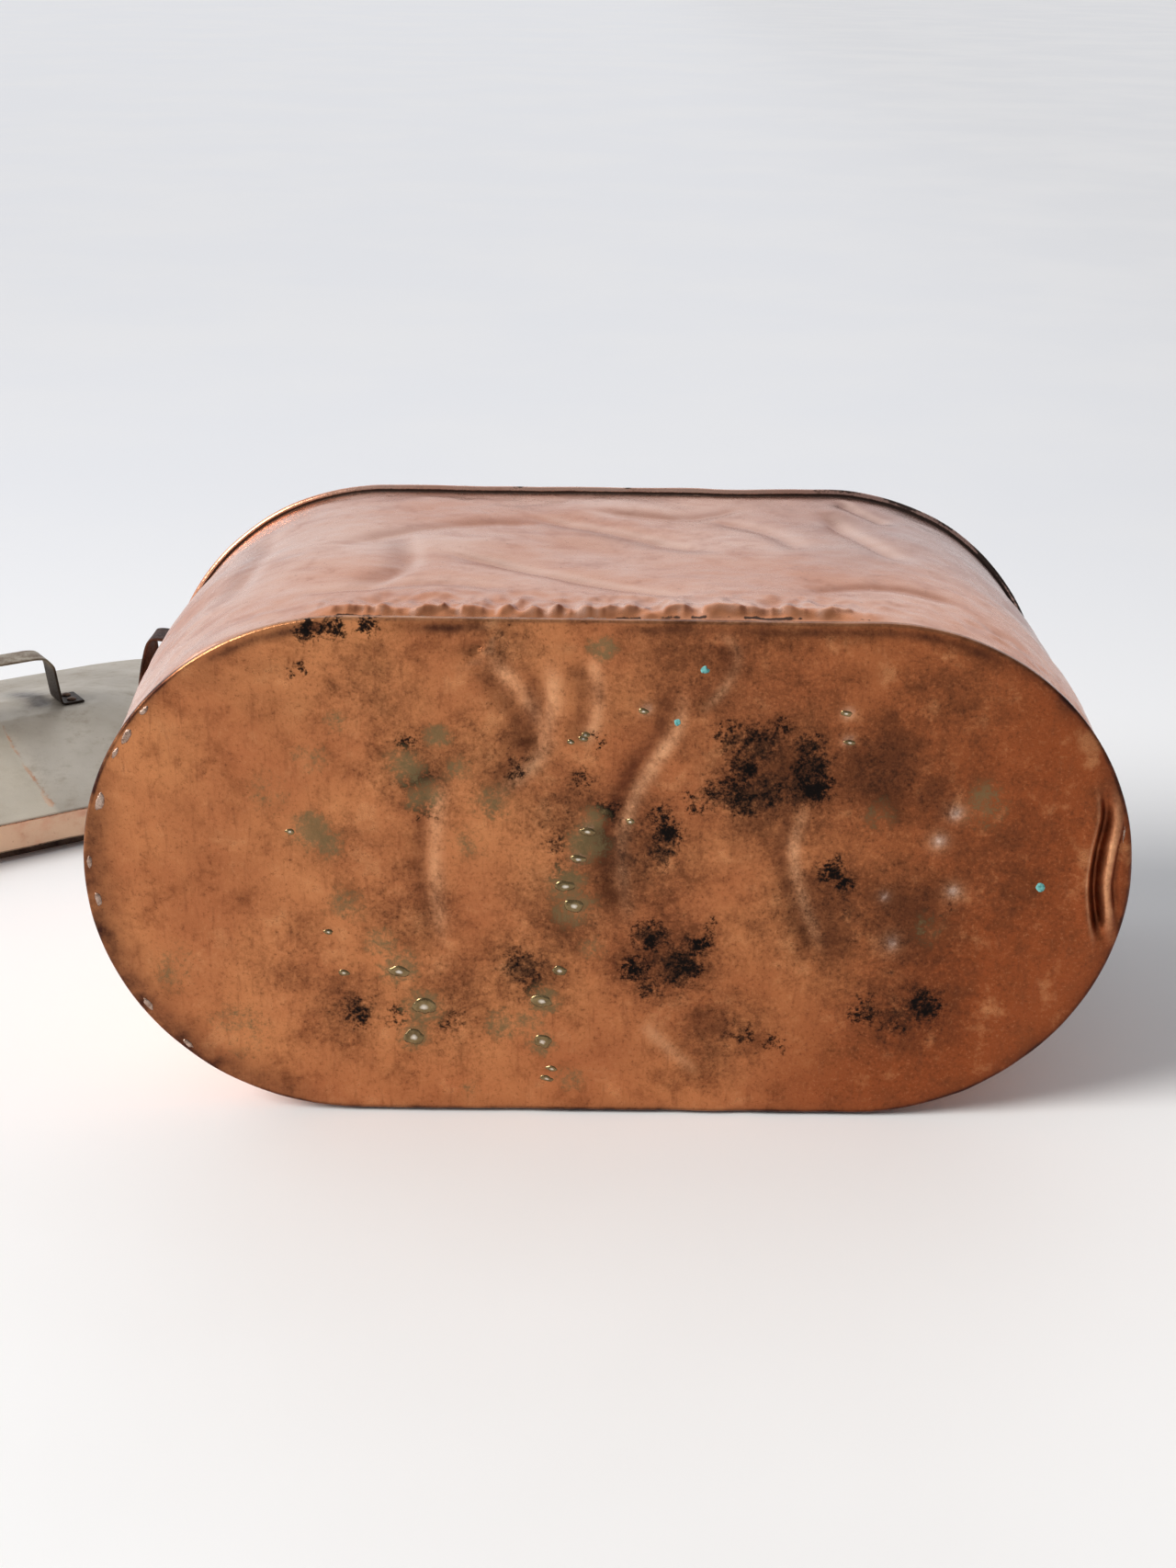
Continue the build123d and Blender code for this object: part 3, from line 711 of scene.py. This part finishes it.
def make_wall(name, side, relief, columns, step, node):
    """Half of the wall: the profile runs up the outside, round the rolled rim and down the inside.
    Rows are about a step apart behind the hem, and two steps further up. The relief is added to the
    oval's radius, and fades at the hem, the rim and the handles."""
    tuck = np.degrees(np.arccos((WALL_RADIUS - CURL_LINE) / CURL_RADIUS))
    start_y = CURL_Y - CURL_RADIUS * np.sin(np.radians(tuck))
    band_y = 42
    profile = np.vstack([
        run((WALL_RADIUS, PAN_SHEET), (WALL_RADIUS, band_y), int(40 / step)),
        run((WALL_RADIUS, band_y), (WALL_RADIUS, start_y), int(121 / step)),
        arc((CURL_LINE, CURL_Y), CURL_RADIUS, -tuck, 180, 18),
        run((INNER_RADIUS, CURL_Y - 1), (INNER_RADIUS, PAN_SHEET), 44),
    ])
    s = np.linspace(-HALF_ROUND, HALF_ROUND, columns)
    r, y = profile.T[:, :, None]
    x, z = oval(s, side, r)
    points = np.stack([x, y + 0 * x, z], -1)
    flat = np.stack([x, np.minimum(y, start_y) + 0 * x, z], -1)
    flat[..., 0], flat[..., 2] = oval(s, side, WALL_RADIUS)
    at_hem = smooth((y - HEM_DEPTH + 1) / 7)
    at_rim = 1 - 0.75 * smooth((y - 262) / 20)
    at_strap = 1 - hill(HALF_ROUND - np.abs(s), 75) ** 0.5 * smooth((y - 230) / 14)
    height, shade_and_dirt, lit_and_worn, gap = relief(s + 0 * y, np.minimum(y, start_y) + 0 * s, flat)
    out = height * at_hem * at_rim * at_strap
    curled = smooth((y - start_y + 1.5) / 2)
    wave = 0.45 * grain(flat, 34, 31, 2) * curled * at_strap
    x, z = oval(s, side, r + out + wave * 0.6)
    grid = np.stack([x, y + wave, z], -1)

    # Painted shade under the rolled rim, in the gap beside the hem and along the rim's top, stronger to the
    # right, with grime in random patches
    outside = r > INNER_RADIUS + 0.2
    under = 1.2 * hill(y - start_y + 0.2, 2.2) * (r < CURL_LINE)
    right = smooth((s - 120) / 60)
    hem_gap_shade = np.maximum(0.7 * hill(y - HEM_DEPTH, 1.6 + 1.2 * grain(points, 20, 32, 2)), gap)
    top = curled * (0.2 + 0.6 * grain(points, 18, 33, 2) + 0.55 * right) * smooth((s + 190) / 60)
    # Painted orange reflection on the crinkled band, and a painted highlight on the rim's left
    band = hill(y - 13, 9) * smooth((s + 185) / 40) * smooth((165 - s) / 40)
    left_rim = 0.6 * smooth((-s - 150) / 60) * hill(y - 285, 20)
    # Greyer towards the rim, and darker to the right with painted shade
    greyed_and_shaded = smooth((y - 60 + 50 * grain(points, 60, 34)) / 160) * (0.16 + 0.5 * smooth((s - 40) / 160))
    masks = {
        "shade_and_grime": np.clip(np.maximum(under, np.maximum(hem_gap_shade, top)), 0, 1) * outside,
        "orange_and_reflection": np.clip(band + left_rim, 0, 1) * outside,
        "shade_and_dirt": shade_and_dirt * outside * (1 - curled),
        "lit_and_worn": lit_and_worn * outside * (1 - curled),
        "grey_and_shade": greyed_and_shaded * outside,
        "inside": 0.9 * ~outside + 0 * s,
    }
    return build(name, grid, WALL, "boiler", [node], ring=False, loop=True, caps=True,
                 masks=masks)


# ---------------------------------------------------------------- lid


def lid_world(x, y, height):
    """Lid's own x, y and height above the floor, turned and moved to where it lies."""
    cos, sin = np.cos(LID_TURN), np.sin(LID_TURN)
    return np.stack([LID_CENTRE[0] + x * cos - y * sin, LID_CENTRE[1] + x * sin + y * cos,
                     FLOOR_Z + height + 0 * x], -1)


# Folds in the lid's roof, in its own x and y: points, depth, width to the left and to the right
ROOF_FOLDS = [
    ([(10, -16), (7, -60), (5, -110), (4, -156)], 1.6, 4, 8),
    ([(84, 0), (150, -6), (280, -20)], 1.0, 9, 7),
    ([(-78, 12), (-110, 70), (-130, 145)], 1.0, 8, 8),
    ([(-84, 0), (-170, 10), (-285, 20)], 0.9, 9, 8),
    ([(-60, -24), (-70, -80), (-66, -150)], 0.8, 8, 10),
]


def eave_wave(s, side):
    """Radial waves of the lid's edge, shared by its roof and its skirt."""
    x, y = oval(s, side, LID_RADIUS)
    return 0.8 * grain(np.stack([x, y, 0 * x], -1), 42, 41, 2)


def make_roof():
    """Lid's roof: rings that widen from the ridge's line to the eave as they drop, over the top
    and back under, with folds and soft waves. Steps below 0 close the ridge's flat top."""
    ridge_rows, slope_rows = 8, 58
    steps = np.concatenate([
        np.linspace(-1, 0, ridge_rows, endpoint=False), np.linspace(0, 1, slope_rows, endpoint=False),
        [0.995, 1.0, 1.0, 0.995], np.linspace(0.98, 0, 22), np.linspace(-0.2, -1, 5),
    ])
    upper_rows = ridge_rows + slope_rows + 2
    below = np.where(np.arange(len(steps)) < upper_rows, 0.0, LID_SHEET)
    below[upper_rows - 1] = 0.2 * LID_SHEET
    share = np.clip(steps, 0, 1)[:, None]
    closing = 1 + np.clip(steps, -1, 0)[:, None]
    straight = RIDGE_STRAIGHT + (END_X - RIDGE_STRAIGHT) * share
    radius = (RIDGE_RADIUS + (LID_RADIUS - RIDGE_RADIUS) * share) * closing
    height = RIDGE - CROWN_RISE * share - below[:, None]
    s, side = whole_round(440)
    radius = radius + eave_wave(s, side) * share
    x, y = oval(s, side, radius, straight)
    points = np.stack([x, y, 0 * x], -1)
    pressed, shade_and_dirt, _ = folded(x, y, ROOF_FOLDS)
    dent = 0.9 * grain(points, 70, 42) + 0.45 * grain(points, 26, 43) + 0.1 * grain(points, 9, 44, 2)
    dent += pressed
    sag = 2.0 * np.sin(np.pi * share) * smooth(share * 6)
    still = smooth((1 - share) * 12) * smooth((share - 0.02) * 8)
    grid = lid_world(x, y, height - dent * still - sag)

    # Rust follows the main fold and the eave. Beside the fold a lit facet gets a painted highlight, and by
    # the handle's leg and under its feet lie patches of painted shadow with dirt
    main, along = beside(x, y, ROOF_FOLDS[0][0])
    fold_rust = hill(main, 1.4 + 1.4 * smooth(along * 3 - 2)) * (0.75 + 0.5 * smooth(along * 4 - 2.6))
    rust = np.maximum(fold_rust, np.maximum(0.35 * shade_and_dirt, 0.4 * hill(1 - share, 0.025)))
    beside_leg = hill(x - 53, 12) * smooth(y / 12 + 1) * smooth((110 - y) / 60)
    under_feet = hill(np.abs(x) - 72, 11) * hill(y - 3, 13)
    masks = {
        "rust": rust * (below[:, None] < LID_SHEET) * smooth(along * 9) * smooth(9 - along * 9),
        "painted_highlight": smooth(main / 3 + 0.5) * hill(main, 75) * smooth(along * 5) * (y < 0),
        "shadow_and_stain": np.clip(np.maximum(beside_leg, under_feet), 0, 0.92),
    }
    return build("lid_roof", grid, TIN, "lid", ["lid_top"], masks=masks)


def make_skirt():
    """Lid's skirt: an upright band whose profile has rounded edges, waved in and out."""
    outer, inner = LID_RADIUS, LID_RADIUS - LID_SHEET
    low, high = BAND_LOW[2] - FLOOR_Z, EAVE
    profile = np.vstack([
        run((outer, low + 0.3), (outer, high), 18),
        run((outer, high), (inner, high), 2),
        run((inner, high), (inner, low + 0.3), 14),
        arc((outer - LID_SHEET / 2, low + LID_SHEET / 2), LID_SHEET / 2, -170, -10, 5),
    ])
    s, side = whole_round(520)
    r, height = profile.T[:, :, None]
    flare = 0.8 * ((high - height) / (high - low)) ** 2
    x, y = oval(s, side, r)
    points = np.stack([x, y, height + 0 * x], -1)
    out = eave_wave(s, side) + flare * (0.4 + 0.7 * grain(points, 36, 46, 2))
    x, y = oval(s, side, r + out)
    grid = lid_world(x, y, height + 0.35 * grain(points, 40, 47, 2) * smooth((high - height) / 10))
    outside = r > inner + 0.2
    # Darker along the lower edge and at the eave, with grime in random patches
    edges = 0.4 * hill(height - high, 1.2) + 0.5 * hill(height - low, 1.5)
    masks = {
        "shade_and_grime": np.clip(edges + 0.25 * grain(points, 20, 48, 2), 0, 1) * outside,
        # Even orange and grey tints over the whole skirt
        "orange_and_reflection": 0.1 * outside + 0 * x,
        "grey_and_shade": 0.2 * outside + 0 * x,
        "inside": 0.8 * (1 - outside) + 0 * x,
    }
    return build("lid_band", grid, SKIRT, "lid", ["lid_skirt"], loop=True, masks=masks)


# ---------------------------------------------------------------- straps and rivets


def strap(name, path, across, width, sheet, material, body, node, seed, bent=None, painted_light_and_shade=None):
    """Flat strap: a rectangle with rounded edges carried along a path, its width along across. The
    width and the face wander a little, and each end closes to its own rounded edge. bent moves the
    finished points, and the last argument gives their share of painted shade."""
    turn = np.linspace(0, 2 * np.pi, 36, endpoint=False)
    power = 0.16
    round_u = np.sign(np.cos(turn)) * np.abs(np.cos(turn)) ** power
    round_v = np.sign(np.sin(turn)) * np.abs(np.sin(turn)) ** (2 * power)
    closing = np.linspace(0.12, 1, 4)
    path = np.vstack([np.repeat(path[:1], 4, 0), path[1:-1], np.repeat(path[-1:], 4, 0)])
    slope = np.gradient(path[3:-3], axis=0)
    slope = np.vstack([np.repeat(slope[:1], 3, 0), slope, np.repeat(slope[-1:], 3, 0)])
    slope /= np.linalg.norm(slope, axis=1)[:, None]
    full, tip = np.ones(len(path)), np.zeros(len(path))
    full[:4], full[-4:] = closing, closing[::-1]
    tip[:4], tip[-4:] = -np.sqrt(1 - closing**2), np.sqrt(1 - closing[::-1] ** 2)
    across = np.array(across, float)
    normal = np.cross(slope, across)
    half = width / 2 * (1 + 0.02 * grain(path, 26, seed))
    bow = 0.25 * grain(path, 30, seed + 1)
    middle = path + slope * tip[:, None] * sheet / 2 + across * bow[:, None]
    u = (round_u * (half - (1 - full) * sheet / 2)[:, None])[..., None]
    v = (round_v * (full * sheet / 2)[:, None])[..., None]
    grid = middle[:, None] + u * across + v * normal[:, None]
    if bent:
        grid = bent(grid)
    return build(name, grid, material, body, [node], caps=True,
                 masks={"painted_light_and_shade": painted_light_and_shade(grid) if painted_light_and_shade else 0})


def end_strap(name, path, node, seed, bent):
    """Strap on the boiler's end, with its path as points (x, z) and its width along Y."""
    points = np.stack([path[:, 0], np.full(len(path), STRAP_Y), path[:, 1]], -1)
    return strap(name, points, (0, 1, 0), STRAP_WIDTH, STRAP_SHEET, STRAP, "boiler", node, seed, bent)


def rivet_grid(places, axes, grip, back):
    """Rivets: a profile (radius, height) from the head's crown down the shank to the tail's crown,
    turned about each axis. Height 0 is the sheet's outer face."""
    head = arc((0, 0), 1, 90, 6, 9) * [3.9, 2.0] + [0, grip + 0.05]
    tail = arc((0, 0), 1, -6, -90, 7) * [2.9, 1.2] + [0, -back - 0.05]
    profile = np.vstack([head, [(3.7, grip), (2.0, grip), (2.0, -back), (2.7, -back)], tail])
    profile[0, 0] = profile[-1, 0] = 0
    radius, height = profile.T[:, :, None, None]
    turn = np.linspace(0, 2 * np.pi, 20, endpoint=False)[:, None]
    grids = []
    for place, axis in zip(places, axes):
        side = np.cross(axis, (0, 1, 0) if abs(axis[1]) < 0.9 else (1, 0, 0))
        side /= np.linalg.norm(side)
        ring = np.cos(turn) * side + np.sin(turn) * np.cross(axis, side)
        grids.append(place + radius * ring + height * axis)
    return np.array(grids)


def end_rivets(end):
    """Places and outward axes of one end's four rivets."""
    foot = GRIP_HALF - STRAP_SHEET - (STRAP_FOOT - STRAP_SHEET) / 2
    angle = np.arcsin(foot / WALL_RADIUS)
    places, axes = [], []
    for up in (-1, 1):
        axis = np.array([end * np.cos(angle), 0, up * np.sin(angle)])
        for shift in (-RIVET_PITCH / 2, RIVET_PITCH / 2):
            places.append(np.array([end * END_X, STRAP_Y + shift, 0]) + axis * WALL_RADIUS)
            axes.append(axis)
    return places, axes


def on_end(end, radius, rise):
    """Points (x, z) on a circle about an end's centre, at heights rise."""
    rise = np.asarray(rise, float)
    return np.stack([end * (END_X + np.sqrt(radius**2 - rise**2)), rise], -1)


def make_left_strap():
    """Left handle: feet that hug the wall, legs that run out, and a grip that follows the end's
    curve and has twisted a little."""
    foot, grip = WALL_RADIUS + STRAP_SHEET / 2 + SEAT_GAP, GRIP_RADIUS - STRAP_SHEET / 2
    top = GRIP_HALF - STRAP_SHEET / 2
    low_foot = on_end(-1, foot, np.linspace(-FOOT_START, -(top - 4), 10))
    bow = on_end(-1, grip, np.linspace(-(top - 2), top - 2, 60))
    high_foot = on_end(-1, foot, np.linspace(top - 4, FOOT_START, 10))
    path = eased_path(np.vstack([low_foot, bow, high_foot]), 1.0, 36)

    def twisted(grid):
        """Leans the grip's mouth side in towards the wall, where the strap stands clear of it."""
        out = smooth((-END_X - WALL_RADIUS - 6 - grid[..., 0]) / 14)
        grid[..., 0] += out * 0.5 * (grid[..., 1] - STRAP_Y + STRAP_WIDTH / 2)
        return grid

    return end_strap("side_strap", path, "left_handle", 51, twisted)


def make_torn_lug(up, name, node):
    """Stub of the torn-off right handle: a foot whose free edge is ragged."""
    foot = WALL_RADIUS + STRAP_SHEET / 2 + SEAT_GAP
    rise = up * np.linspace(FOOT_START, FOOT_START + LUG_RISE, 12)
    path = eased_path(on_end(1, foot, rise), 0.8, 1)

    def torn(grid):
        """Moves the far end's points up or down by a grain that changes across the strap."""
        share = np.linspace(0, 1, len(grid))[:, None]
        ragged = 1.3 * grain(grid * [0, 1, 0] + [0, 0, up * 40], 5, 52, 2) - 0.8
        grid[..., 2] += up * ragged * smooth((share - 0.55) / 0.4)
        return grid

    return end_strap(name, path, node, 53, torn)


def make_lid_strap():
    """Lid's handle: feet turned outwards, legs that lean in and a flat top with round shoulders."""
    foot, top = RIDGE + LID_STRAP_SHEET / 2 + SEAT_GAP, ARCH_HIGH[2] - FLOOR_Z - LID_STRAP_SHEET / 2
    half_arch = [(LID_LEG_X + LID_FOOT, foot), (LID_LEG_X + 0.5, foot), (LID_LEG_X, foot + 1),
                 (60.6, top - 9), (54, top - 1.2), (46, top)]
    path = eased_path([(-x, h) for x, h in half_arch] + half_arch[::-1], 1.0, 8)
    points = lid_world(path[:, 0], 0 * path[:, 0], path[:, 1])
    across = (-np.sin(LID_TURN), np.cos(LID_TURN), 0)
    # The strap's legs get painted shade, darker lower down
    return strap("lid_strap", points, across, LID_STRAP_WIDTH, LID_STRAP_SHEET, LID_STRAP, "lid",
                 "lid_handle", 54, painted_light_and_shade=lambda grid: 0.92 * smooth((FLOOR_Z + top - 4 - grid[..., 2]) / 12))


def make_rivets():
    """Rivets of the left handle, of the torn feet and of the lid's handle."""
    back = WALL_SHEET + BURR_SHEET
    for name, end, node in (("side_rivets", -1, "left_handle_rivets"),
                            ("lug_rivets", 1, "right_foot_rivets")):
        places, axes = end_rivets(end)
        build(name, rivet_grid(places, axes, STRAP_SHEET, back), RIVET, "boiler", [node])
    spread = LID_LEG_X + LID_FOOT / 2 + LID_STRAP_SHEET / 2
    places = [lid_world(np.array(x), np.array(y), RIDGE) for x in (-spread, spread)
              for y in (-RIVET_PITCH / 2, RIVET_PITCH / 2)]
    upright = [np.array([0, 0, 1.0])] * len(places)
    build("lid_strap_rivets", rivet_grid(places, upright, LID_STRAP_SHEET, back), OLD_RIVET,
          "lid", ["lid_handle_rivets"])


# ---------------------------------------------------------------- solder and crusts


BLOB_RINGS = [0.0, 0.2, 0.4, 0.6, 0.8, 1.0, 1.02, 0.0]  # shares of a drop's reach, the last two under it

# Drops in the pits beside the hem: angle about the left end in degrees, distance in from the edge, radius
HEM_DROPS = [(139, 4, 3.0), (146, 5, 4.0), (151, 4, 3.0), (163, 6, 4.5), (178, 3.5, 3.0), (187, 6, 3.5),
             (215, 5, 3.5), (228, 4, 3.0)]
# Drops and crusts on the face: x, z, half length, half breadth, height
FACE_DROPS = [
    (-120, -61, 6, 4, 0.8), (-106, -84, 6.5, 5, 0.9), (-112, -104, 5.5, 5, 0.8), (-19, -18, 6, 4, 0.8),
    (-24, -6, 5.5, 3.5, 0.7), (-37, -79, 6, 4, 0.8), (-37, -106, 5, 4, 0.8), (-31, -124, 3.5, 2, 0.7),
    (-34, -131, 3.5, 1.8, 0.6), (-12, 28, 4.5, 2.6, 0.7), (-17, 11, 5, 2.4, 0.8), (12, 34, 2.5, 2, 0.6),
    (-27, -59, 5, 3, 0.8), (-180, 26, 2.5, 1.6, 0.6), (-160, -36, 2.5, 1.6, 0.6), (-152, -62, 3, 2, 0.6),
    (18, 101, 3, 1.8, 0.7), (-15, 84, 3, 2, 0.7), (-22, 82, 2.5, 1.6, 0.6), (-14, 86, 2.5, 1.6, 0.6),
    (130, 101, 3, 1.6, 0.6), (133, 84, 3.5, 1.6, 0.6),
]
CRUSTS = [(51, 125, 2.4, 2.2, 0.5), (37, 94, 1.9, 1.8, 0.5), (247, -3, 2.6, 2.6, 0.5)]
DRIP_LEAN = -0.15


def blobs(places, lean, seed):
    """Drops on the bottom: domes whose length leans by an angle, whose outline wanders, and whose
    foot is sunk just under the sheet. Height is sqrt(1 - q^2) at a share q of the reach."""
    turn = np.linspace(0, 2 * np.pi, 22, endpoint=False)
    q = np.array(BLOB_RINGS)[:, None]
    rise = np.sqrt(np.clip(1 - q**2, 0, 1))
    rise[-2:] = -0.35
    grids = []
    leans = np.broadcast_to(lean, len(places))
    for number, ((x, z, length, breadth, proud), angle) in enumerate(zip(places, leans)):
        ring = np.stack([np.cos(turn), np.sin(turn), 0 * turn + 3.1 * number], -1)
        reach = 1 + 0.28 * grain(ring, 0.9, seed, 2)
        cos, sin = np.cos(angle), np.sin(angle)
        a, b = q * reach * np.cos(turn) * length, q * reach * np.sin(turn) * breadth
        u, v = x + a * cos - b * sin, z + a * sin + b * cos
        bumpy = 1 + 0.25 * grain(np.stack([u, v, 0 * u], -1), length, seed + 1)
        ground = face_depth(u, v, np.hypot(np.maximum(np.abs(u) - END_X, 0), v))[0]
        grids.append(np.stack([u, ground - rise * proud * bumpy, v], -1))
    return np.array(grids)


def make_solder():
    """Solder in the pits beside the hem, drips on the face, and crusts of verdigris."""
    angle, inset, radius = np.array(HEM_DROPS).T
    turn, reach = np.radians(angle), HEM_RADIUS - inset
    pits = np.stack([-END_X + reach * np.cos(turn), reach * np.sin(turn), 1.2 * radius, 0.5 * radius,
                     0.7 + 0 * turn], -1)
    build("pit_solder", blobs(pits, turn + np.pi / 2, 61), SOLDER, "boiler", ["solder_spots"])
    # Painted glint on the drips' crowns
    crown = 0.85 * smooth(1.2 - 3.0 * np.array(BLOB_RINGS))[:, None]
    build("solder_drips", blobs(FACE_DROPS, DRIP_LEAN, 63), DRIP, "boiler", masks={"painted_light_and_shade": crown})
    build("verdigris_crusts", blobs(CRUSTS, DRIP_LEAN, 65), CRUST, "boiler")


def finish_cad_parts():
    """Parts whose shapes are already right get their metals."""
    for node, material in (
        ("rim_wire", WIRE), ("bottom_solder", SOLDER), ("collar_solder", SOLDER), ("lid_collar", COLLAR_IN_SHADE),
        ("left_seam_strip", SKIRT), ("right_seam_strip", SKIRT),
        ("left_rivet_burrs", RIVET), ("right_rivet_burrs", RIVET), ("lid_rivet_burrs", RIVET),
    ):
        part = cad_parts[node]
        part.data.materials.clear()
        part.data.materials.append(material)


# ---------------------------------------------------------------- stage


def make_floor():
    """Wide flat floor under everything."""
    reach, z = 60.0, FLOOR_Z * MM
    mesh = bpy.data.meshes.new("floor")
    mesh.from_pydata([(-reach, -reach, z), (reach, -reach, z), (reach, reach, z), (-reach, reach, z)],
                     [], [(0, 1, 2, 3)])
    mesh.materials.append(painted_floor())
    floor = bpy.data.objects.new("floor", mesh)
    bpy.context.scene.collection.objects.link(floor)


def shine(light, way, place=(0, 0, 0)):
    """Puts a light at a place, pointing along a way."""
    lamp = bpy.data.objects.new(light.name, light)
    lamp.location = place
    lamp.rotation_euler = Vector(way).to_track_quat("-Z", "Y").to_euler()
    bpy.context.scene.collection.objects.link(lamp)


def make_light():
    """White studio: pale surround that is dimmer in front, with soft daylight from the left."""
    world = bpy.data.worlds.new("studio")
    world.use_nodes = True
    nodes, links = world.node_tree.nodes, world.node_tree.links
    towards = nodes.new("ShaderNodeVectorMath")
    towards.operation = "DOT_PRODUCT"
    towards.inputs[1].default_value = Vector((-0.32, 0.9, -0.22)).normalized()
    links.new(nodes.new("ShaderNodeTexCoord").outputs["Generated"], towards.inputs[0])
    level = nodes.new("ShaderNodeMapRange")
    level.interpolation_type = "SMOOTHSTEP"
    for key, value in (("From Min", -0.15), ("From Max", 0.7), ("To Min", 0.3), ("To Max", 0.86)):
        level.inputs[key].default_value = value
    links.new(towards.outputs["Value"], level.inputs["Value"])
    background = nodes["Background"]
    background.inputs["Color"].default_value = (0.94, 0.96, 1.0, 1)
    links.new(level.outputs["Result"], background.inputs["Strength"])
    bpy.context.scene.world = world
    daylight = bpy.data.lights.new("daylight", "SUN")
    daylight.energy, daylight.angle, daylight.color = 3.3, np.radians(28), (1.0, 0.985, 0.96)
    shine(daylight, (0.78, 0.36, -0.56))
    window = bpy.data.lights.new("window", "AREA")
    window.energy, window.shape, window.size, window.size_y = 8, "RECTANGLE", 1.4, 1.2
    shine(window, (1.9, -0.4, -1.3), (-1.9, 0.5, 1.3))
    bpy.context.scene.view_settings.view_transform = "Standard"


def make_camera():
    """Camera a metre in front of the bottom, looking slightly down."""
    data = bpy.data.cameras.new("camera")
    data.lens, data.sensor_width = 50, 36
    data.clip_end = 200
    camera = bpy.data.objects.new("camera", data)
    down, right, roll = np.radians([21.872, 0.290, 0.798])
    camera.matrix_world = (
        Matrix.Translation((-0.0178, -1.1312, 0.5110))
        @ Matrix.Rotation(-right, 4, "Z")
        @ Matrix.Rotation(np.pi / 2 - down, 4, "X")
        @ Matrix.Rotation(roll, 4, "Z")
    )
    bpy.context.scene.collection.objects.link(camera)
    bpy.context.scene.camera = camera


make_bottom()
make_wall("upper_wall_sheet", 1, upper_relief, 430, 1.0, "upper_wall")
make_wall("lower_wall_sheet", -1, lower_relief, 260, 2.0, "lower_wall")
make_left_strap()
make_torn_lug(1, "upper_torn_lug", "right_upper_foot")
make_torn_lug(-1, "lower_torn_lug", "right_lower_foot")
make_roof()
make_skirt()
make_lid_strap()
make_rivets()
make_solder()
finish_cad_parts()
make_floor()
make_light()
make_camera()
